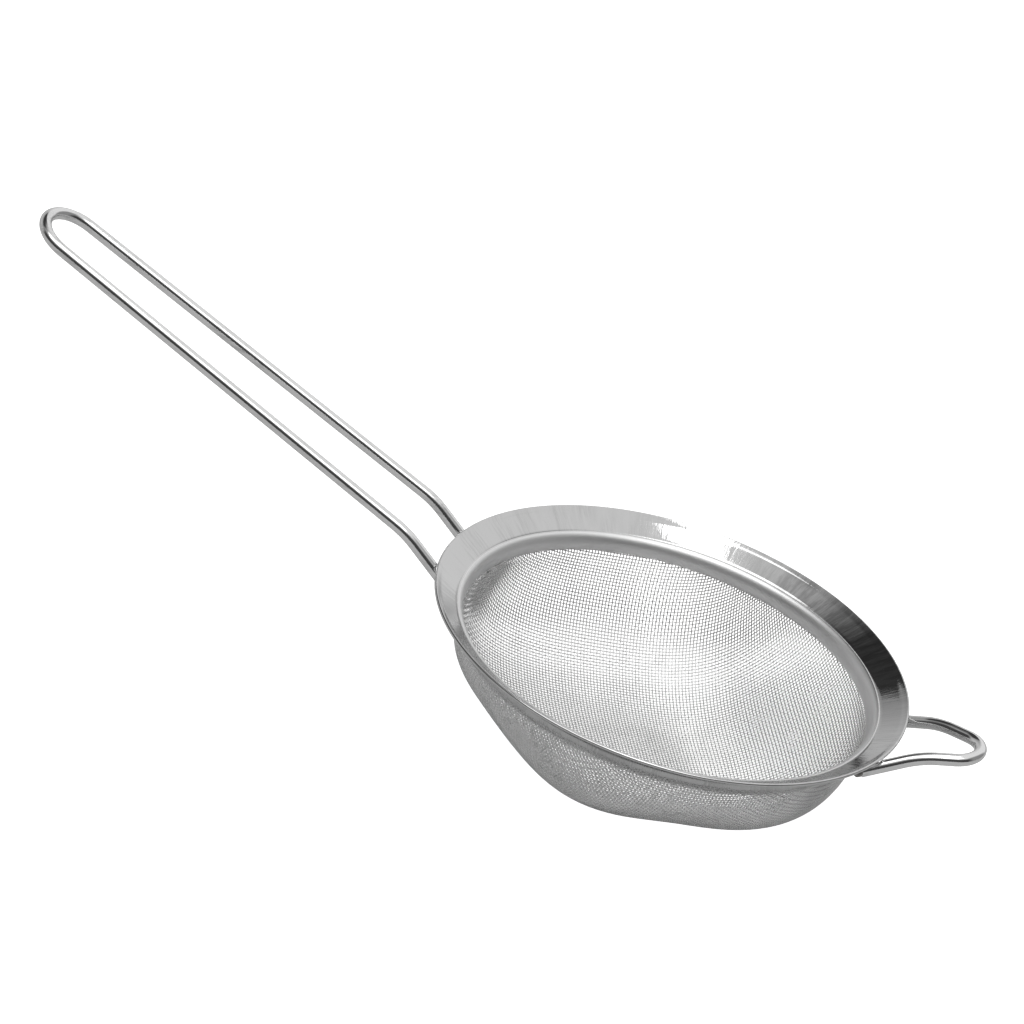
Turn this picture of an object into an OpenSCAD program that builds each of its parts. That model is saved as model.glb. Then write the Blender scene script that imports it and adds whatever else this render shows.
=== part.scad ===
// Tea strainer: a pressed steel rim with a rounded inner bead, a woven wire bowl held under it by a
// clamp band, and two bent wires welded under the rim: a long hairpin handle
// and a short rest loop that sits on the far side of the cup.
// The base of the bowl stands on Z = 0, the rim axis is Z, the handle runs
// along -X and the rest loop along +X. All sizes are millimetres.

/* [Rim] */
// Outer diameter of the rim
rim_d = 90; // [72:1:130]
// Height of the rim's outer edge above the base of the bowl
rim_h = 27.8; // [22:0.1:40]
// Width of the sloping flange, seen from above
flange_w = 4.9; // [3.5:0.1:9]
// Drop of the flange from its outer edge to the inner corner
flange_drop = 2.65; // [1.5:0.05:5]
// Height of the upright outer face of the bead below the flange
skirt_h = 1; // [0.6:0.05:4]
// Width of the inner bead, which covers the edge of the cloth
lip_w = 1.65; // [0.8:0.05:3]
// Drop of the bead's sloping underside over that width
lip_drop = 2.2; // [0.6:0.05:3.5]
// Thickness of the rim sheet
sheet_t = 0.5; // [0.3:0.05:0.8]
// Diameter of the rolled outer edge
hem_d = 0.65; // [0.6:0.05:1]
// Length of the straight edge below the rounded inner bead
bead_edge = 0.3; // [0.1:0.05:0.6]

/* [Wire bowl] */
// Thickness of the woven wire cloth
cloth_t = 0.4; // [0.25:0.05:0.8]
// Diameter of the flat base
base_d = 25; // [8:0.5:34]
// Fullness of the wall: 2 is a quarter ellipse, less is nearer to a cone
wall_full = 1.7; // [1.5:0.05:2.3]
// Thickness of the clamp band around the cloth
band_t = 0.4; // [0.3:0.05:0.8]
// Height of the clamp band
band_h = 1.2; // [0.8:0.05:1.6]

/* [Handle] */
// Diameter of the handle and rest wires
wire_d = 2.3; // [1.6:0.1:3.2]
// Distance from the rim's edge to the end of the handle, on the wire's centre line
handle_out = 89.5; // [45:0.5:150]
// Slope of the handle above the rim, in degrees
handle_slope = 18.2; // [0:0.1:30]
// Distance from the rim's edge to the handle's bend
handle_bend_out = 6.6; // [5:0.1:14]
// How much steeper than the flange the wire runs out from under the rim, in degrees
handle_lift = 5.8; // [3:0.1:15]
// Spacing of the two legs at the bend, between centre lines
handle_w = 15.6; // [11:0.1:24]
// Spacing of the two legs at the far end, between centre lines
handle_end_w = 12.9; // [9:0.1:20]

/* [Rest loop] */
// Distance from the rim's edge to the tip of the loop, on the wire's centre line
rest_out = 14; // [9.5:0.5:45]
// Distance from the rim's edge to the loop's bend
rest_bend_out = 5; // [3.5:0.1:8]
// How much steeper than the flange the wire runs out from under the rim, in degrees
rest_lift = 2.6; // [2:0.1:12]
// Slope of the loop beyond its bend, in degrees
rest_slope = 10.7; // [0:0.1:25]
// Spacing of the two legs at the rim's edge, between centre lines
rest_w = 19.2; // [16:0.1:26]
// Spacing of the two legs at the tip, between centre lines
rest_end_w = 7.2; // [5:0.1:15]
// Radius of the wire's bends at the rim
bend_r = 18; // [3:0.5:24]

/* [Fit] */
// Gap left between pieces that lie against each other
seat_gap = 0.05; // [0.02:0.01:0.1]
// Width of the weld behind each wire's end
weld_w = 1.9; // [1.2:0.1:2.4]

/* [Hidden] */
$fn = 128;

rim_r = rim_d / 2;
skirt_r = rim_r - flange_w;          // inner face of the skirt
skirt_or = skirt_r + sheet_t;        // outer face of the skirt
flange_tan = flange_drop / flange_w;
flange_a = atan(flange_tan);
under_dz = sheet_t / cos(flange_a);  // flange thickness measured along Z
skirt_z = rim_h - flange_drop - skirt_h;
lip_a = atan(lip_drop / lip_w);
lip_r = skirt_r - lip_w;             // free edge of the lip
cloth_or = skirt_or + seat_gap + cloth_t;    // cloth where it is clamped
band_ir = cloth_or + seat_gap;
band_or = band_ir + band_t;
wire_r = wire_d / 2;
wire_sides = 20;

function flange_top(r) = rim_h - (rim_r - r) * flange_tan;
function flange_under(r) = flange_top(r) - under_dz;
function lip_top(r) = skirt_z - (skirt_r - r) * tan(lip_a);
function lip_under(r) = lip_top(r) - sheet_t / cos(lip_a);

band_z1 = flange_under(band_ir) - seat_gap;
band_z0 = band_z1 - band_h;

// Shoulder of the cloth: it lies under the lip
function shoulder_in(r) = lip_under(r) - seat_gap / cos(lip_a);
function shoulder_out(r) = shoulder_in(r) - cloth_t / cos(lip_a);

// Wall of the bowl: a quarter oval from the flat base up to the shoulder
wall_r = lip_r + cloth_t + 0.1;
wall_z = shoulder_out(wall_r);
base_r = base_d / 2;
wall_steps = 18;
function wall(off, i) = let (a = 90 * i / wall_steps)
    [base_r + (wall_r - off - base_r) * pow(sin(a), 2 / wall_full),
     wall_z - (wall_z - off) * pow(cos(a), 2 / wall_full)];

// ---- sheet and cloth ----

module rim_ring() {
    hem_c = [rim_r - hem_d / 2, rim_h - hem_d / 2];
    crease_z = flange_top(skirt_r);
    edge_z = lip_top(lip_r);
    roll = crease_z - edge_z - bead_edge;
    color([0.80, 0.80, 0.79])
    rotate_extrude() union() {
        polygon(concat(
            [[hem_c[0], flange_top(hem_c[0])]],
            [for (a = [0:10:90]) [skirt_r - lip_w * sin(a), edge_z + bead_edge + roll * cos(a)]],
            [[lip_r, edge_z],
             [lip_r + sheet_t * sin(lip_a), edge_z - sheet_t * cos(lip_a)],
             [skirt_or, lip_under(skirt_or)], [skirt_or, flange_under(skirt_or)],
             [hem_c[0], flange_under(hem_c[0])]]));
        translate(hem_c) circle(d = hem_d, $fn = 48);
    }
}

module clamp_band() {
    color([0.66, 0.66, 0.66])
    rotate_extrude()
        polygon([[band_ir, band_z0], [band_or, band_z0],
                 [band_or, flange_under(band_or) - seat_gap], [band_ir, band_z1]]);
}

module mesh_bowl() {
    in_r = cloth_or - cloth_t;
    top = flange_under(in_r) - seat_gap / cos(flange_a);   // clear of the flange at its lowest
    color([0.74, 0.74, 0.74])
    rotate_extrude()
        polygon(concat(
            [[0, 0]], [for (i = [0:wall_steps]) wall(0, i)],
            [[cloth_or, shoulder_out(cloth_or)], [cloth_or, top], [in_r, top],
             [in_r, shoulder_in(in_r)], [wall_r - cloth_t, shoulder_in(wall_r - cloth_t)]],
            [for (i = [wall_steps:-1:0]) wall(cloth_t, i)], [[0, cloth_t]]));
}

// ---- bent wire ----

function unit(v) = v / norm(v);

// Points and directions along a wire that runs straight between points p and
// turns corner i + 1 on a true arc of radius r[i]
function wire_path(p, r) =
    let (n = len(p),
         u = [for (i = [0:n - 2]) unit(p[i + 1] - p[i])])
    concat([[p[0], u[0]]],
        [for (i = [0:n - 3])
            let (turn = acos(min(1, u[i] * u[i + 1])),
                 nn = unit(u[i + 1] - u[i] * (u[i] * u[i + 1])),
                 c = p[i + 1] - u[i] * r[i] * tan(turn / 2) + nn * r[i],
                 steps = max(3, ceil(turn / 7)))
            for (j = [(i > 0 && norm(p[i + 1] - p[i]) < 1.01 * (r[i] + r[i - 1])
                       && norm(p[i + 1] - p[i]) - (r[i] + r[i - 1]) * tan(turn / 2) < 0.01) ? 1 : 0 : steps])
                let (t = turn * j / steps)
                [c + r[i] * (u[i] * sin(t) - nn * cos(t)), u[i] * cos(t) + nn * sin(t)]],
        [[p[n - 1], u[n - 2]]]);

// Round wire of diameter d swept along that path
module bent_wire(p, r, d) {
    path = wire_path(p, r);
    m = len(path);
    rr = d / 2 / cos(90 / wire_sides);
    pts = [for (q = path) let (side = unit(cross([0, 0, 1], q[1])), up = cross(q[1], side))
           for (k = [0:wire_sides - 1]) let (a = 360 * (k + 0.5) / wire_sides)
               q[0] + rr * (side * cos(a) + up * sin(a))];
    function at(i, k) = i * wire_sides + k % wire_sides;
    polyhedron(pts, concat(
        [[for (k = [0:wire_sides - 1]) k]],
        [for (i = [0:m - 2]) for (k = [0:wire_sides - 1]) [at(i, k), at(i + 1, k), at(i + 1, k + 1)]],
        [for (i = [0:m - 2]) for (k = [0:wire_sides - 1]) [at(i, k), at(i + 1, k + 1), at(i, k + 1)]],
        [[for (k = [wire_sides - 1:-1:0]) (m - 1) * wire_sides + k]]));
}

module along(at, dir) {
    translate(at) rotate([0, acos(dir[2]), atan2(dir[1], dir[0])]) children();
}

// Each wire leaves from under the rim: it passes the edge just below the
// flange and the hem, and its end stops short of the clamp band.
function cross_z(a) = rim_h - max(under_dz, hem_d) - seat_gap - wire_r / cos(a);
function leg_x(w) = sqrt(rim_r * rim_r - w * w);
// Cut end of a leg that leans by a and closes by b: its nearest corner clears the band
function end_x(w, a, b) = let (c = cos(a) * cos(b + asin(w / band_or)),
                               r = band_or + seat_gap + wire_r * sqrt(1 - c * c))
    sqrt(r * r - w * w);

// Handle: two points of each leg, then the two corners of the end
hw = handle_w / 2;
he = handle_end_w / 2;
h_a = flange_a + handle_lift;
h_cross = leg_x(hw);
h_bend_x = rim_r + handle_bend_out;
h_end_x = rim_r + handle_out;
h_in_x = end_x(hw, h_a, 0);
h_bend = [h_bend_x, hw, cross_z(h_a) + (h_bend_x - h_cross) * tan(h_a)];
h_tip = [h_end_x, he, h_bend[2] + (h_end_x - h_bend_x) * tan(handle_slope)];
h_in = [h_in_x, hw, cross_z(h_a) - (h_cross - h_in_x) * tan(h_a)];
h_turn = acos(unit(h_tip - h_bend) * [0, -1, 0]);
h_end_r = he / tan(h_turn / 2);

// Rest loop: the legs close towards each other and meet in a rounded tip
rw = rest_w / 2;
r_a = flange_a + rest_lift;
r_cross = leg_x(rw);
r_bend_x = rim_r + rest_bend_out;
r_tip_x = rim_r + rest_out;
rest_slant = (rw - rest_end_w / 2) / (r_tip_x - r_cross);
function rest_half(x) = rw - (x - r_cross) * rest_slant;
r_in_x = end_x(rest_half(sqrt(pow(band_or + wire_r, 2) - rw * rw)), r_a, atan(rest_slant));
r_bend = [r_bend_x, rest_half(r_bend_x), cross_z(r_a) + (r_bend_x - r_cross) * tan(r_a)];
r_tip = [r_tip_x, rest_half(r_tip_x), r_bend[2] + (r_tip_x - r_bend_x) * tan(rest_slope)];
r_in = [r_in_x, rest_half(r_in_x), cross_z(r_a) - (r_cross - r_in_x) * tan(r_a)];
r_turn = acos(unit(r_tip - r_bend) * [0, -1, 0]);
r_end_r = r_tip[1] / tan(r_turn / 2);
r_rise = acos(unit(r_bend - r_in) * unit(r_tip - r_bend));
r_room = norm(r_tip - r_bend) - r_tip[1] - 0.2;     // what the tip leaves for the bend
r_bend_r = min(bend_r, r_room / tan(r_rise / 2));

function flip(p) = [p[0], -p[1], p[2]];
function back(p) = [-p[0], p[1], p[2]];

module handle_wire() {
    p = [h_in, h_bend, h_tip, flip(h_tip), flip(h_bend), flip(h_in)];
    color([0.84, 0.84, 0.84])
    bent_wire([for (q = p) back(q)], [bend_r, h_end_r, h_end_r, bend_r], wire_d);
}

module rest_wire() {
    p = [r_in, r_bend, r_tip, flip(r_tip), flip(r_bend), flip(r_in)];
    color([0.84, 0.84, 0.84])
    bent_wire(p, [r_bend_r, r_end_r, r_end_r, r_bend_r], wire_d);
}

// ---- welds ----

// Wedge of weld between the cut end of a wire and the clamp band behind it
module weld(p_in, p_out) {
    dir = unit(p_out - p_in);
    c = norm([dir[0], dir[1]]);
    top = [-dir[2], c] * wire_r - [c, dir[2]] * seat_gap;
    foot = [dir[2], -c] * wire_r - [c, dir[2]] * seat_gap;
    z0 = band_z0 - p_in[2];
    color([0.55, 0.54, 0.52])
    difference() {
        translate(p_in) rotate([0, 0, atan2(dir[1], dir[0])]) rotate([90, 0, 0])
            linear_extrude(weld_w, center = true)
                polygon([top, foot, [-0.6 * wire_r, z0], [-4, z0], [-4, top[1]]]);
        translate([0, 0, band_z0 - 10]) cylinder(r = band_or, h = 20, $fn = 256);
    }
}

module handle_weld_left() { weld(back(h_in), back(h_bend)); }
module handle_weld_right() { weld(back(flip(h_in)), back(flip(h_bend))); }
module rest_weld_left() { weld(r_in, r_bend); }
module rest_weld_right() { weld(flip(r_in), flip(r_bend)); }

rim_ring();
clamp_band();
mesh_bowl();
handle_wire();
rest_wire();
handle_weld_left();
handle_weld_right();
rest_weld_left();
rest_weld_right();
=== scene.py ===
import math

import bpy
import bmesh
import numpy as np
from mathutils import Matrix, Vector


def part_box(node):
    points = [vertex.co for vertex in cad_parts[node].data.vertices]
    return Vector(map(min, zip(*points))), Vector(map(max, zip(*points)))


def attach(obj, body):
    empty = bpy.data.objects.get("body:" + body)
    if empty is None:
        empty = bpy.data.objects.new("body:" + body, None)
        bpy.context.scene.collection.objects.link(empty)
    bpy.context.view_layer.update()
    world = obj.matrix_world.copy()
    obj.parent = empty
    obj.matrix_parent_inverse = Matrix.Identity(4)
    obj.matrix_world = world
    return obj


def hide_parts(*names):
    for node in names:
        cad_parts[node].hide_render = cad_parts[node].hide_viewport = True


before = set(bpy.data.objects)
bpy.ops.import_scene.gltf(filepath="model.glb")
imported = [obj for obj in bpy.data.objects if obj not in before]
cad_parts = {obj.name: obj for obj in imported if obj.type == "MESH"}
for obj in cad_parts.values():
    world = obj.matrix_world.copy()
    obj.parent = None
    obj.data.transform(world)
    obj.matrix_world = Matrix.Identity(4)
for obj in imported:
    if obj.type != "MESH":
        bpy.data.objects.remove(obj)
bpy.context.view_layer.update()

scene = bpy.context.scene
MM = 0.001

# ---- sizes, in millimetres; the overall ones come from the frame ----
rim_low, rim_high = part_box("rim_ring")
band_low, band_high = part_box("clamp_band")
RIM_R = (rim_high.x - rim_low.x) / 2 / MM
RIM_H = rim_high.z / MM
BAND_R = (band_high.x - band_low.x) / 2 / MM
BAND_Z0, BAND_Z1 = band_low.z / MM, band_high.z / MM

FLANGE_W, FLANGE_DROP = 4.9, 2.65    # sloping flange
SKIRT_H = 1.0                        # upright outer face of the bead
LIP_W, LIP_DROP = 1.65, 2.2          # rounded inner bead and its underside
BEAD_EDGE = 0.3                      # straight edge below the bead
SHEET = 0.5                          # rim sheet
HEM_R = 0.325                        # rolled outer edge
CLOTH = 0.4                          # woven cloth, both wires
BAND_T = 0.4                         # clamp band
GAP = 0.05                           # between pieces that lie together
WIRE_R = 1.15                        # handle and rest loop
BEND_R = 18.0                        # their bends at the rim

SKIRT_R = RIM_R - FLANGE_W
SKIRT_OUT = SKIRT_R + SHEET
SKIRT_Z = RIM_H - FLANGE_DROP - SKIRT_H
FLANGE_A = math.atan(FLANGE_DROP / FLANGE_W)
LIP_A = math.atan(LIP_DROP / LIP_W)
UNDER = SHEET / math.cos(FLANGE_A)


# ---- materials ----
def new_group(name, inputs, outputs):
    """An empty shader group with a Group Input and a Group Output."""
    group = bpy.data.node_groups.new(name, "ShaderNodeTree")
    for label, kind, value in inputs:
        socket = group.interface.new_socket(name=label, in_out="INPUT", socket_type=kind)
        if value is not None:
            socket.default_value = value
    for label, kind in outputs:
        group.interface.new_socket(name=label, in_out="OUTPUT", socket_type=kind)
    return group, group.nodes.new("NodeGroupInput"), group.nodes.new("NodeGroupOutput")


def node(tree, kind, **settings):
    made = tree.nodes.new(kind)
    for key, value in settings.items():
        setattr(made, key, value)
    return made


def join(tree, start, end):
    tree.links.new(start, end)


def feed(tree, item, socket):
    """Joins another socket to this one, or sets it to a number, vector or colour."""
    if isinstance(item, bpy.types.NodeSocket):
        join(tree, item, socket)
    elif item is not None:
        socket.default_value = item


def product(tree, a, b):
    made = node(tree, "ShaderNodeMath", operation="MULTIPLY")
    feed(tree, a, made.inputs[0])
    feed(tree, b, made.inputs[1])
    return made.outputs[0]


def vector_of(tree, operation, a, b=None, scale=None):
    made = node(tree, "ShaderNodeVectorMath", operation=operation)
    feed(tree, a, made.inputs[0])
    feed(tree, b, made.inputs[1])
    if scale is not None:
        feed(tree, scale, made.inputs["Scale"])
    return made.outputs[0]


def mapped(tree, socket, low, high, to_low, to_high):
    """A smooth step from to_low, up to low, to to_high, from high on."""
    made = node(tree, "ShaderNodeMapRange", interpolation_type="SMOOTHSTEP")
    for label, item in (("Value", socket), ("From Min", low), ("From Max", high),
                        ("To Min", to_low), ("To Max", to_high)):
        feed(tree, item, made.inputs[label])
    return made.outputs[0]


def mixed(tree, kind, mask, first, second):
    """Two greys (FLOAT) or colours (RGBA), values or sockets, mixed by a mask."""
    mix = node(tree, "ShaderNodeMix", data_type=kind)
    for label, item in (("Factor", mask), ("A", first), ("B", second)):
        feed(tree, item, mix.inputs[label])
    return mix.outputs["Result"]


def colour_between(tree, mask, low, high):
    return mixed(tree, "RGBA", mask, (*low, 1.0), (*high, 1.0))


def noise(tree, vector, scale, detail, roughness=0.5):
    made = node(tree, "ShaderNodeTexNoise", noise_dimensions="3D")
    for label, item in (("Vector", vector), ("Scale", scale), ("Detail", detail),
                        ("Roughness", roughness)):
        feed(tree, item, made.inputs[label])
    return made.outputs["Fac"]


LINE_DRIFT, PATCH_DRIFT = 160.0, 60.0     # change of the grain along a spoke, per metre


def turned_grain_group():
    """Polishing lines that run out from the rim's axis, and cloudy patches."""
    group, into, out = new_group(
        "turned grain",
        (("Vector", "NodeSocketVector", None), ("Lines", "NodeSocketFloat", None),
         ("Patches", "NodeSocketFloat", 7.0)),
        (("Line Height", "NodeSocketFloat"), ("Line Mask", "NodeSocketFloat"),
         ("Cloud Mask", "NodeSocketFloat")))
    flat = vector_of(group, "MULTIPLY", into.outputs["Vector"], (1.0, 1.0, 0.0))
    spoke = vector_of(group, "NORMALIZE", flat)
    spread = vector_of(group, "SCALE", spoke, scale=into.outputs["Lines"])
    drift = vector_of(group, "SCALE", into.outputs["Vector"], scale=LINE_DRIFT)
    fine = noise(group, vector_of(group, "ADD", spread, drift), 1.0, 3.0, 0.65)
    clouds_at = vector_of(group, "SCALE", spoke, scale=into.outputs["Patches"])
    clouds_drift = vector_of(group, "SCALE", into.outputs["Vector"], scale=PATCH_DRIFT)
    clouds = noise(group, vector_of(group, "ADD", clouds_at, clouds_drift), 1.0, 2.0)
    join(group, fine, out.inputs["Line Height"])
    join(group, mapped(group, fine, 0.35, 0.65, 0.0, 1.0), out.inputs["Line Mask"])
    join(group, mapped(group, clouds, 0.42, 0.6, 0.0, 1.0), out.inputs["Cloud Mask"])
    return group


def drawn_lines_group():
    """Fine die lines along a drawn wire, with faint rubbed patches."""
    group, into, out = new_group(
        "drawn lines",
        (("Vector", "NodeSocketVector", None),
         ("Stretch", "NodeSocketVector", None),
         ("Patch Scale", "NodeSocketFloat", 130.0)),
        (("Line Height", "NodeSocketFloat"), ("Line Mask", "NodeSocketFloat"),
         ("Rub Mask", "NodeSocketFloat")))
    at = vector_of(group, "MULTIPLY", into.outputs["Vector"], into.outputs["Stretch"])
    lines = noise(group, at, 1.0, 3.0)
    rubs = noise(group, into.outputs["Vector"], into.outputs["Patch Scale"], 4.0)
    join(group, lines, out.inputs["Line Height"])
    join(group, mapped(group, lines, 0.35, 0.68, 0.0, 1.0), out.inputs["Line Mask"])
    join(group, mapped(group, rubs, 0.45, 0.7, 0.0, 1.0), out.inputs["Rub Mask"])
    return group


TURNED = turned_grain_group()
DRAWN = drawn_lines_group()


def metal(name, roughness):
    """A metal with its shader and the node that gives Object coordinates."""
    material = bpy.data.materials.new(name)
    material.use_nodes = True
    tree = material.node_tree
    shader = tree.nodes["Principled BSDF"]
    shader.inputs["Metallic"].default_value = 1.0
    shader.inputs["Roughness"].default_value = roughness
    coordinates = node(tree, "ShaderNodeTexCoord")
    return material, tree, shader, coordinates.outputs["Object"]


def bump_from(tree, height, strength, distance):
    bump = node(tree, "ShaderNodeBump")
    bump.inputs["Strength"].default_value = strength
    bump.inputs["Distance"].default_value = distance
    join(tree, height, bump.inputs["Height"])
    return bump.outputs["Normal"]


# Broad scuffs lie on the part of the flange beyond these distances, in metres
SCUFF_X = (-0.002, 0.018)
SCUFF_Y = (0.010, 0.026)
SCUFF_SHADE = 0.72
BROAD_LINES = 0.4
# Painted highlight: the light grey painted on the rim's rolled bead below the crease.
BEAD_PAINTED_HIGHLIGHT_GREY = (0.93, 0.93, 0.93, 1.0)


def sheet_steel(name, low, high, rough_low, rough_high, lines, bead_rough=None):
    """Pressed steel sheet, polished across the ring. The rolled bead, which lies below the flange,
    can be satin, and is given a painted highlight: a lighter grey painted over its steel colour."""
    material, tree, shader, place = metal(name, rough_low)
    grain = node(tree, "ShaderNodeGroup", node_tree=TURNED)
    grain.inputs["Lines"].default_value = lines
    join(tree, place, grain.inputs["Vector"])
    both = product(tree, grain.outputs["Line Mask"], grain.outputs["Cloud Mask"])
    parts = node(tree, "ShaderNodeSeparateXYZ")
    join(tree, place, parts.inputs[0])
    broad = node(tree, "ShaderNodeGroup", node_tree=TURNED)
    broad.inputs["Lines"].default_value = lines * BROAD_LINES
    join(tree, place, broad.inputs["Vector"])
    scuffs = product(tree, broad.outputs["Line Mask"],
                      mapped(tree, parts.outputs["X"], *SCUFF_X, 0.10, 1.0))
    scuffs = product(tree, scuffs,
                      mapped(tree, parts.outputs["Y"], *SCUFF_Y, 0.12, 1.0))
    colour = mixed(tree, "RGBA", scuffs, colour_between(tree, both, high, low),
                   (*[c * SCUFF_SHADE for c in low], 1.0))
    roughness = mapped(tree, both, 0.0, 1.0, rough_low, rough_high)
    # Below the crease the bead gets satin roughness and a painted highlight, a light grey painted
    # in place of the steel colour.
    if bead_rough is not None:
        crease = (RIM_H - FLANGE_DROP) * MM
        above = mapped(tree, parts.outputs["Z"], crease - 0.0002, crease + 0.0001, 0.0, 1.0)
        roughness = mapped(tree, above, 0.0, 1.0, bead_rough, roughness)
        colour = mixed(tree, "RGBA", above, BEAD_PAINTED_HIGHLIGHT_GREY, colour)
    join(tree, colour, shader.inputs["Base Color"])
    join(tree, roughness, shader.inputs["Roughness"])
    join(tree, bump_from(tree, grain.outputs["Line Height"], 0.15, 0.0001),
         shader.inputs["Normal"])
    return material


def wire_steel(name, low, high, rough_low, rough_high, stretch):
    """Drawn wire, and weld metal with a coarser grain."""
    material, tree, shader, place = metal(name, rough_low)
    lines = node(tree, "ShaderNodeGroup", node_tree=DRAWN)
    lines.inputs["Stretch"].default_value = stretch
    join(tree, place, lines.inputs["Vector"])
    worn = product(tree, lines.outputs["Line Mask"], lines.outputs["Rub Mask"])
    join(tree, colour_between(tree, worn, high, low), shader.inputs["Base Color"])
    join(tree, mapped(tree, worn, 0.0, 1.0, rough_low, rough_high), shader.inputs["Roughness"])
    join(tree, bump_from(tree, lines.outputs["Line Height"], 0.12, 0.00003),
         shader.inputs["Normal"])
    return material


RIM_STEEL = sheet_steel("rim steel", (0.63, 0.63, 0.63), (0.70, 0.70, 0.70), 0.06, 0.14, 60.0, 0.44)
BAND_STEEL = sheet_steel("band steel", (0.50, 0.50, 0.50), (0.62, 0.62, 0.62), 0.26, 0.36, 240.0)
HANDLE_STEEL = wire_steel("handle steel", (0.66, 0.66, 0.66), (0.90, 0.90, 0.90), 0.10, 0.22,
                          (60.0, 2600.0, 2600.0))
CLOTH_STEEL = wire_steel("cloth steel", (0.68, 0.68, 0.68), (0.88, 0.88, 0.88), 0.24, 0.36,
                         (900.0, 900.0, 900.0))
WELD_STEEL = wire_steel("weld steel", (0.16, 0.155, 0.15), (0.36, 0.35, 0.34), 0.40, 0.60,
                        (1500.0, 1500.0, 1500.0))


# ---- making and placing pieces ----
def link(name, mesh, material):
    piece = bpy.data.objects.new(name, mesh)
    scene.collection.objects.link(piece)
    mesh.materials.clear()
    mesh.materials.append(material)
    return piece


def mesh_from(name, bm):
    mesh = bpy.data.meshes.new(name)
    bm.to_mesh(mesh)
    bm.free()
    return mesh


def round_bars(name, lines, radius, roundness, material, twist="MINIMUM"):
    """Round bars through lists of points in millimetres, as one mesh."""
    data = bpy.data.curves.new(name, "CURVE")
    data.dimensions = "3D"
    data.twist_mode = twist
    data.bevel_depth = radius * MM
    data.bevel_resolution = roundness
    data.use_fill_caps = True
    for points in lines:
        spline = data.splines.new("POLY")
        spline.points.add(len(points) - 1)
        spline.points.foreach_set("co", np.c_[np.array(points) * MM, np.ones(len(points))].ravel())
        spline.use_smooth = True
    holder = bpy.data.objects.new(name + "_line", data)
    scene.collection.objects.link(holder)
    mesh = bpy.data.meshes.new_from_object(
        holder.evaluated_get(bpy.context.evaluated_depsgraph_get()))
    bpy.data.objects.remove(holder)
    bpy.data.curves.remove(data)
    mesh.name = name
    return link(name, mesh, material)


def keep(piece, slot, *nodes):
    """Every piece is fixed to the one body and stands for its CAD nodes."""
    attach(piece, "root")
    if nodes:
        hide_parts(*nodes)


def arc(centre, radius, start, end, step):
    """Points on an arc in the outline's plane, angles in degrees."""
    count = max(2, round(abs(end - start) / step))
    turns = [math.radians(start + (end - start) * k / count) for k in range(count + 1)]
    return [(centre[0] + radius * math.cos(t), centre[1] + radius * math.sin(t)) for t in turns]


def spun(name, outline, material, steps, sharp=40):
    """A closed outline of (radius, height) spun once round the rim's axis."""
    bm = bmesh.new()
    verts = [bm.verts.new((r * MM, 0.0, z * MM)) for r, z in outline]
    edges = [bm.edges.new((verts[k - 1], verts[k])) for k in range(len(verts))]
    bmesh.ops.spin(bm, geom=verts + edges, cent=(0, 0, 0), axis=(0, 0, 1), dvec=(0, 0, 0),
                   angle=math.tau, steps=steps, use_merge=True, use_normal_flip=False,
                   use_duplicate=False)
    bmesh.ops.remove_doubles(bm, verts=bm.verts, dist=1e-7)
    bmesh.ops.recalc_face_normals(bm, faces=bm.faces)
    for face in bm.faces:
        face.smooth = True
    for edge in bm.edges:
        edge.smooth = edge.calc_face_angle(0.0) < math.radians(sharp)
    return link(name, mesh_from(name, bm), material)


# ---- rim: hem, flange and rounded inner bead ----
def flange_top(r):
    return RIM_H - (RIM_R - r) * math.tan(FLANGE_A)


def lip_top(r):
    return SKIRT_Z - (SKIRT_R - r) * math.tan(LIP_A)


CROWN = 0.03          # rise of the flange between hem and bead
FLANGE_SPANS = 8
RING_STEPS = 288


def make_rim():
    hem = (RIM_R - HEM_R, RIM_H - HEM_R)
    lean = math.degrees(FLANGE_A)
    lip_r = SKIRT_R - LIP_W
    edge_z = lip_top(lip_r)
    crease_z = flange_top(SKIRT_R)
    roll = crease_z - edge_z - BEAD_EDGE
    soft = 0.12
    # crease, round of the bead, its edge, underside and outer face
    outline = [(SKIRT_R + 0.10, flange_top(SKIRT_R + 0.10)), (SKIRT_R + 0.03, crease_z - 0.02)]
    outline += [(SKIRT_R - LIP_W * math.sin(math.radians(a)),
                 edge_z + BEAD_EDGE + roll * math.cos(math.radians(a))) for a in range(3, 91, 6)]
    outline += [(lip_r, edge_z + soft), (lip_r + soft * 0.6, edge_z - soft * 0.4)]
    outline += [(lip_r + SHEET * math.sin(LIP_A), edge_z - SHEET * math.cos(LIP_A))]
    foot = lip_top(SKIRT_OUT) - SHEET / math.cos(LIP_A)
    outline += [(SKIRT_OUT - 0.1, foot - 0.1 * math.tan(LIP_A)), (SKIRT_OUT, foot + 0.1)]
    outline += [(SKIRT_OUT, flange_top(SKIRT_OUT) - UNDER - 0.05),
                (SKIRT_OUT + 0.1, flange_top(SKIRT_OUT + 0.1) - UNDER)]
    outline += [(hem[0] - 0.3, flange_top(hem[0] - 0.3) - UNDER)]
    outline += arc(hem, HEM_R, -115, 86 + lean, 12)
    # back over the top of the flange
    for part in range(1, FLANGE_SPANS):
        r = hem[0] - 0.25 + (SKIRT_R + 0.25 - hem[0]) * part / FLANGE_SPANS
        outline.append((r, flange_top(r) + CROWN * math.sin(math.pi * part / FLANGE_SPANS)))
    rim = spun("rim", outline, RIM_STEEL, RING_STEPS)
    keep(rim, "rim_steel", "rim_ring")


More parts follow.
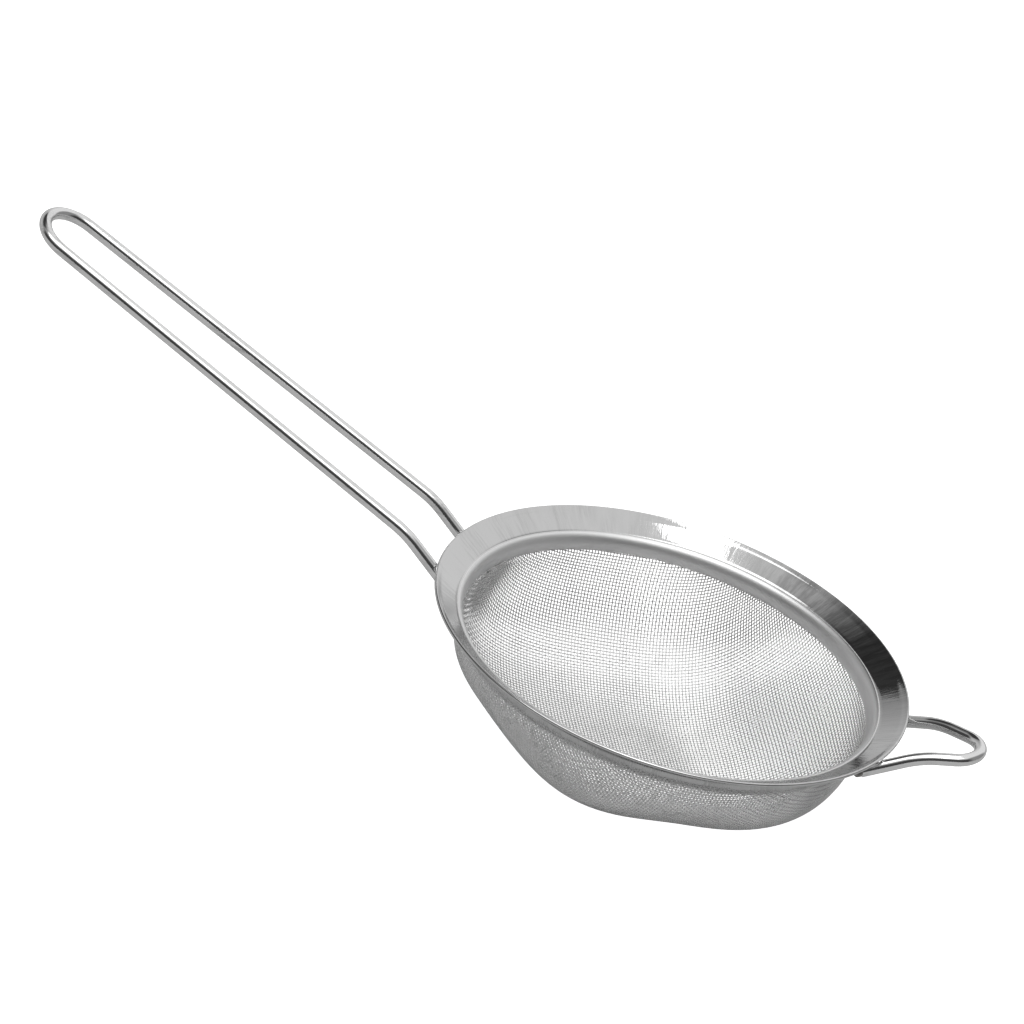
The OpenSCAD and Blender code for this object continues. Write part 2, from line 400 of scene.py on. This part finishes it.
# ---- clamp band ----
def make_band():
    inner = BAND_R - BAND_T
    soft = 0.1
    # the top slopes down inwards, under the flange
    outline = [(inner, BAND_Z0 + soft), (inner + soft, BAND_Z0), (BAND_R - soft, BAND_Z0),
               (BAND_R, BAND_Z0 + soft), (BAND_R, BAND_Z1 - soft), (BAND_R - soft, BAND_Z1),
               (inner + soft, BAND_Z1 - 0.22), (inner, BAND_Z1 - 0.3)]
    band = spun("clamp_strip", outline, BAND_STEEL, RING_STEPS, sharp=60)
    keep(band, "band_steel", "clamp_band")


# ---- woven bowl ----
PITCH = 0.64                         # from one strand to the next
STRAND_R = 0.1
WEAVE_TURN = math.radians(27.0)      # direction of the warp, from +X
BASE_R = 12.2                        # flat base
WALL_FULL = 2.254                    # 2 is a quarter ellipse
WALL_R = SKIRT_R - LIP_W + CLOTH / 2 + 0.1
SHOULDER_OUT = SKIRT_OUT + GAP + CLOTH / 2


def shoulder_z(r):
    return lip_top(r) - (SHEET + GAP + CLOTH / 2) / math.cos(LIP_A)


WALL_Z = shoulder_z(WALL_R)
FLOOR_Z = CLOTH / 2
quarter = np.linspace(0, np.pi / 2, 60)
OUT_R = np.r_[np.linspace(0, BASE_R, 13)[:-1],
              BASE_R + (WALL_R - BASE_R) * np.sin(quarter) ** (2 / WALL_FULL),
              SHOULDER_OUT, SHOULDER_OUT]
OUT_Z = np.r_[np.full(12, FLOOR_Z),
              WALL_Z - (WALL_Z - FLOOR_Z) * np.cos(quarter) ** (2 / WALL_FULL),
              shoulder_z(SHOULDER_OUT), BAND_Z1 - 0.5]
OUT_S = np.r_[0, np.cumsum(np.hypot(np.diff(OUT_R), np.diff(OUT_Z)))]


# How far the pressed bowl leaves the round, as shares of its radius: the mean,
# then rows of waves per turn with their cosine and sine parts
SWELL_MEAN = -0.084
SWELL_WAVES = ((1, -0.071, 0.047), (2, 0.048, -0.059), (4, 0.057, -0.046))


def cloth_surface(s, turn):
    """Middle of the cloth at a distance s up its outline. Pressed from a flat
    square weave, the bowl is a little squarer than it is round."""
    r = np.interp(s, OUT_S, OUT_R)
    z = np.interp(s, OUT_S, OUT_Z) + 0 * turn
    depth = np.clip((WALL_Z - z) / (WALL_Z - FLOOR_Z), 0, 1)
    swell = SWELL_MEAN
    for waves, along_cos, along_sin in SWELL_WAVES:
        swell = swell + along_cos * np.cos(waves * turn) + along_sin * np.sin(waves * turn)
    r = r * (1 + swell * np.sin(np.pi / 2 * depth ** 1.3))
    return np.stack([r * np.cos(turn), r * np.sin(turn), z], -1)


def cloth_slopes(s, turn):
    step = 1e-4
    here = cloth_surface(s, turn)
    return (here, (cloth_surface(s + step, turn) - here) / step,
            (cloth_surface(s, turn + step) - here) / step)


def drape(pitch):
    """Crossings of a square weave laid over the bowl: each one lies one pitch
    from its neighbours along both sets of wires."""
    half = int(OUT_S[-1] / pitch) + 3
    side = 2 * half + 1
    at = np.full((side, side, 3), np.nan)
    where = np.full((side, side, 2), np.nan)
    at[half, half] = (0, 0, FLOOR_Z)
    where[half, half] = (0, WEAVE_TURN)
    for axis, (di, dj) in enumerate(((1, 0), (0, 1), (-1, 0), (0, -1))):
        turn = WEAVE_TURN + axis * np.pi / 2
        s, last = 0.0, at[half, half]
        for k in range(1, half + 1):
            ahead = s + pitch
            for _ in range(5):
                ahead += pitch - np.linalg.norm(cloth_surface(ahead, turn) - last)
            if ahead > OUT_S[-1]:
                break
            s, last = ahead, cloth_surface(ahead, turn)
            at[half + k * di, half + k * dj] = last
            where[half + k * di, half + k * dj] = (s, turn)
    for si, sj in ((1, 1), (1, -1), (-1, 1), (-1, -1)):
        for ring in range(2, side):
            i = np.arange(max(1, ring - half), min(half, ring - 1) + 1)
            row, col = half + si * i, half + sj * (ring - i)
            a, b, c = at[row - si, col], at[row, col - sj], at[row - si, col - sj]
            known = ~np.isnan(a[:, 0] + b[:, 0] + c[:, 0])
            if not known.any():
                continue
            a, b, c, row, col = a[known], b[known], c[known], row[known], col[known]
            guess = a + b - c
            turn = np.arctan2(guess[:, 1], guess[:, 0])
            s = where[row - si, col, 0] + where[row, col - sj, 0] - where[row - si, col - sj, 0]
            s = np.where(s < 1e-6, pitch, s)
            for _ in range(7):
                q, qs, qt = cloth_slopes(s, turn)
                fa = ((q - a) ** 2).sum(1) - pitch ** 2
                fb = ((q - b) ** 2).sum(1) - pitch ** 2
                m11, m12 = 2 * ((q - a) * qs).sum(1), 2 * ((q - a) * qt).sum(1)
                m21, m22 = 2 * ((q - b) * qs).sum(1), 2 * ((q - b) * qt).sum(1)
                det = m11 * m22 - m12 * m21
                det = np.where(abs(det) < 1e-9, 1e-9, det)
                s = s + np.clip((fb * m12 - fa * m22) / det, -0.3, 0.3)
                turn = turn + np.clip((fa * m21 - fb * m11) / det, -0.05, 0.05)
            q = cloth_surface(s, turn)
            good = ((s > 0) & (s < OUT_S[-1])
                    & (abs(np.linalg.norm(q - a, axis=1) - pitch) < 0.02)
                    & (abs(np.linalg.norm(q - b, axis=1) - pitch) < 0.02))
            at[row[good], col[good]] = q[good]
            where[row[good], col[good]] = np.c_[s, turn][good]
    return at, where


def runs(points):
    """The stretches of a row that lie on the bowl."""
    known = ~np.isnan(points[:, 0])
    cuts = np.flatnonzero(np.diff(np.r_[0, known.astype(int), 0]))
    return [points[a:b] for a, b in zip(cuts[::2], cuts[1::2]) if b - a > 2]


def make_bowl():
    at, where = drape(PITCH)
    half = at.shape[0] // 2
    _, up_wall, round_wall = cloth_slopes(where[..., 0] + 1e-3, where[..., 1])
    out = np.cross(round_wall, up_wall)
    out /= np.linalg.norm(out, axis=-1, keepdims=True)
    out[half, half] = (0, 0, -1)
    rows, cols = np.indices(at.shape[:2])
    over = np.where((rows + cols) % 2 == 0, 1.0, -1.0)[..., None] * STRAND_R * 0.98
    warp, weft = at + out * over, at - out * over
    first = True
    for name, sheet, along in (("warp", warp, 0), ("weft", weft, 1)):
        for side, span in (("near", range(0, half)), ("far", range(half, at.shape[0]))):
            lines = []
            for k in span:
                lines += runs(sheet[k] if along == 0 else sheet[:, k])
            piece = round_bars(f"bowl_{name}_{side}", lines, STRAND_R, 1, CLOTH_STEEL)
            keep(piece, "cloth_steel", *(("mesh_bowl",) if first else ()))
            first = False


# ---- bent wires ----
def bent(corners, radii, step=3.0):
    """Straight runs between corners, each corner turned on a true arc."""
    corners = [Vector(c) for c in corners]
    path = [corners[0]]
    for k, radius in enumerate(radii):
        before, here, after = corners[k:k + 3]
        u, v = (here - before).normalized(), (after - here).normalized()
        turn = u.angle(v)
        side = (v - u * u.dot(v)).normalized()
        centre = here - u * radius * math.tan(turn / 2) + side * radius
        count = max(4, math.ceil(math.degrees(turn) / step))
        for j in range(count + 1):
            t = turn * j / count
            point = centre + (u * math.sin(t) - side * math.cos(t)) * radius
            if (point - path[-1]).length > 0.02:
                path.append(point)
    path.append(corners[-1])
    return path


def cross_z(lean):
    return RIM_H - max(UNDER, 2 * HEM_R) - GAP - WIRE_R / math.cos(lean)


def leg_in(half_w, lean, close):
    """Where a leg's cut end clears the clamp band."""
    along = math.cos(lean) * math.cos(close + math.asin(half_w / BAND_R))
    reach = BAND_R + GAP + WIRE_R * math.sqrt(1 - along ** 2)
    return math.sqrt(reach ** 2 - half_w ** 2)


def leg_heights(half_w, lean, rise, start_x, bend_x, tip_x):
    """Heights of a leg's cut end, its bend and its tip; it lies under the hem."""
    crossing = math.sqrt(RIM_R ** 2 - half_w ** 2)
    start_z = cross_z(lean) - (crossing - start_x) * math.tan(lean)
    bend_z = cross_z(lean) + (bend_x - crossing) * math.tan(lean)
    return start_z, bend_z, bend_z + (tip_x - bend_x) * math.tan(rise)


def mirrored(side, places, spread, heights):
    """Corners of one leg, towards +X or -X, and of the other leg walked back."""
    leg = [(side * x, y, z) for x, y, z in zip(places, spread, heights)]
    return leg + [(x, -y, z) for x, y, z in reversed(leg)]


def handle_corners():
    half_w, half_end, out, bend = 7.8, 6.45, 89.5, 6.6
    lean, rise = FLANGE_A + math.radians(5.8), math.radians(18.2)
    places = leg_in(half_w, lean, 0.0), RIM_R + bend, RIM_R + out
    return mirrored(-1, places, (half_w, half_w, half_end),
                    leg_heights(half_w, lean, rise, *places))


def rest_corners():
    half_w, half_end, out, bend = 9.6, 3.6, 14.0, 5.0
    lean, rise = FLANGE_A + math.radians(2.6), math.radians(10.7)
    crossing = math.sqrt(RIM_R ** 2 - half_w ** 2)
    close = (half_w - half_end) / (RIM_R + out - crossing)
    near_end = math.sqrt((BAND_R + WIRE_R) ** 2 - half_w ** 2)
    start_x = leg_in(half_w - (near_end - crossing) * close, lean, math.atan(close))
    places = start_x, RIM_R + bend, RIM_R + out
    return mirrored(1, places, [half_w - (x - crossing) * close for x in places],
                    leg_heights(half_w, lean, rise, *places))


def end_radius(corners):
    """The radius that turns both end corners into one round end."""
    a, b, c = (Vector(p) for p in corners[1:4])
    turn = (b - a).angle(c - b)
    return b.y / math.tan(turn / 2) * (1 if b.y > 0 else -1)


def bend_radius(corners):
    """The radius of the bend at the rim, less where the round end leaves no room."""
    a, b, c = (Vector(p) for p in corners[:3])
    room = (c - b).length - abs(c.y) - 0.2
    return min(BEND_R, room / math.tan((b - a).angle(c - b) / 2))


def make_wires():
    for name, corners, slot_name, node_name in (
            ("handle", handle_corners(), "wire_steel", "handle_wire"),
            ("rest_loop", rest_corners(), "wire_steel", "rest_wire")):
        end = end_radius(corners)
        path = bent(corners, (bend_radius(corners), end, end, bend_radius(corners)))
        piece = round_bars(name, [path], WIRE_R, 10, HANDLE_STEEL, twist="Z_UP")
        keep(piece, slot_name, node_name)


# ---- welds ----
def make_weld(node_name):
    """A small lump of weld between a wire's cut end and the clamp band."""
    low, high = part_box(node_name)
    middle, size = (low + high) / 2, (high - low)
    bm = bmesh.new()
    bmesh.ops.create_icosphere(bm, subdivisions=3, radius=0.5)
    for vert in bm.verts:
        x, y, z = vert.co
        lump = 1.0 + 0.10 * math.sin(9 * x + 4 * z) * math.cos(7 * y - 3 * x)
        vert.co = Vector((x * size.x, y * size.y, z * size.z)) * lump * 0.98 + middle
    bmesh.ops.recalc_face_normals(bm, faces=bm.faces)
    for face in bm.faces:
        face.smooth = True
    name = node_name.replace("_weld_", "_bead_")
    keep(link(name, mesh_from(name, bm), WELD_STEEL), "weld_steel", node_name)


# ---- floor, light and camera ----
def make_stage():
    bm = bmesh.new()
    bmesh.ops.create_circle(bm, cap_ends=True, radius=4.0, segments=64)
    bmesh.ops.translate(bm, verts=bm.verts, vec=(0, 0, -0.0001))
    material = bpy.data.materials.new("pale floor")
    material.use_nodes = True
    tree = material.node_tree
    shader = tree.nodes["Principled BSDF"]
    shader.inputs["Roughness"].default_value = 0.9
    shader.inputs["Specular IOR Level"].default_value = 0.0
    shader.inputs["Emission Color"].default_value = (1.0, 1.0, 1.0, 1.0)
    seen = node(tree, "ShaderNodeLightPath")
    join(tree, product(tree, seen.outputs["Is Camera Ray"], 0.95),
         shader.inputs["Emission Strength"])
    cloud = noise(tree, node(tree, "ShaderNodeTexCoord").outputs["Object"], 3.0, 2.0)
    join(tree, colour_between(tree, cloud, (0.62, 0.62, 0.62), (0.66, 0.66, 0.66)),
         shader.inputs["Base Color"])
    link("floor", mesh_from("floor", bm), material)


def make_world():
    """A grey room, lighter behind and overhead and dim low down in front and on
    the right, with one dark corner high on the left. Bands are set by x, y and z
    of the direction; a smooth step joins each pair of greys."""
    world = bpy.data.worlds.new("studio")
    scene.world = world
    world.use_nodes = True
    tree = world.node_tree
    tree.nodes.clear()
    out = node(tree, "ShaderNodeOutputWorld")
    shader = node(tree, "ShaderNodeBackground")
    direction = node(tree, "ShaderNodeTexCoord").outputs["Generated"]
    parts = node(tree, "ShaderNodeSeparateXYZ")
    join(tree, direction, parts.inputs[0])
    x, y, z = (parts.outputs[k] for k in "XYZ")

    left = mapped(tree, z, 0.10, 0.55, 0.52, 0.27)
    right = mapped(tree, x, 0.50, 0.72, mapped(tree, z, 0.0, 0.20, 0.40, 0.76), 0.25)
    behind = mapped(tree, x, -0.58, -0.08, left, right)
    front = mapped(tree, z, 0.55, 0.92, 0.05, 1.0)
    room = mixed(tree, "FLOAT", mapped(tree, y, -0.35, 0.05, 1.0, 0.0), behind, front)
    corner = Vector((-0.61, 0.51, 0.61)).normalized()
    dot = node(tree, "ShaderNodeVectorMath", operation="DOT_PRODUCT")
    join(tree, direction, dot.inputs[0])
    dot.inputs[1].default_value = tuple(corner)
    shade = product(tree, mapped(tree, dot.outputs["Value"], 0.86, 0.93, 0.0, 1.0),
                     mapped(tree, z, 0.465, 0.485, 0.0, 1.0))
    shade = product(tree, shade, mapped(tree, z, 0.72, 0.92, 1.0, 0.0))
    room = mixed(tree, "FLOAT", shade, room, 0.04)
    # the camera itself sees an even pale backdrop
    seen = node(tree, "ShaderNodeLightPath")
    join(tree, mixed(tree, "FLOAT", seen.outputs["Is Camera Ray"], room, 0.95),
         shader.inputs["Color"])
    join(tree, shader.outputs[0], out.inputs["Surface"])


def make_lights():
    for name, place, size, power in (
            ("ceiling box", (0.012, 0.08, 1.15), (0.20, 0.36), 0.60),
            ("front box", (-0.10, -0.42, 1.40), (1.60, 0.70), 4.7)):
        data = bpy.data.lights.new(name, "AREA")
        data.shape = "RECTANGLE"
        data.size, data.size_y = size
        data.energy = power
        lamp = bpy.data.objects.new(name, data)
        scene.collection.objects.link(lamp)
        lamp.location = place
        lamp.visible_camera = False
        aim = Vector((0, 0, 0.02)) - Vector(place)
        lamp.rotation_euler = aim.to_track_quat("-Z", "Y").to_euler()


def make_camera():
    data = bpy.data.cameras.new("camera")
    data.lens = 175.78
    data.sensor_width = 36.0
    data.clip_start = 0.01
    camera = bpy.data.objects.new("camera", data)
    scene.collection.objects.link(camera)
    right, up = (0.90940, 0.31121, 0.27595), (-0.38646, 0.38691, 0.83723)
    back = (0.15378, -0.86801, 0.47213)
    place = (0.103928, -0.787876, 0.467508)
    camera.matrix_world = Matrix([(right[k], up[k], back[k], place[k]) for k in range(3)]
                                 + [(0, 0, 0, 1)])
    scene.camera = camera


make_camera()
make_rim()
make_band()
make_bowl()
make_wires()
for weld_name in ("handle_weld_left", "handle_weld_right", "rest_weld_left", "rest_weld_right"):
    make_weld(weld_name)
make_stage()
make_world()
make_lights()
scene.view_settings.view_transform = "Standard"
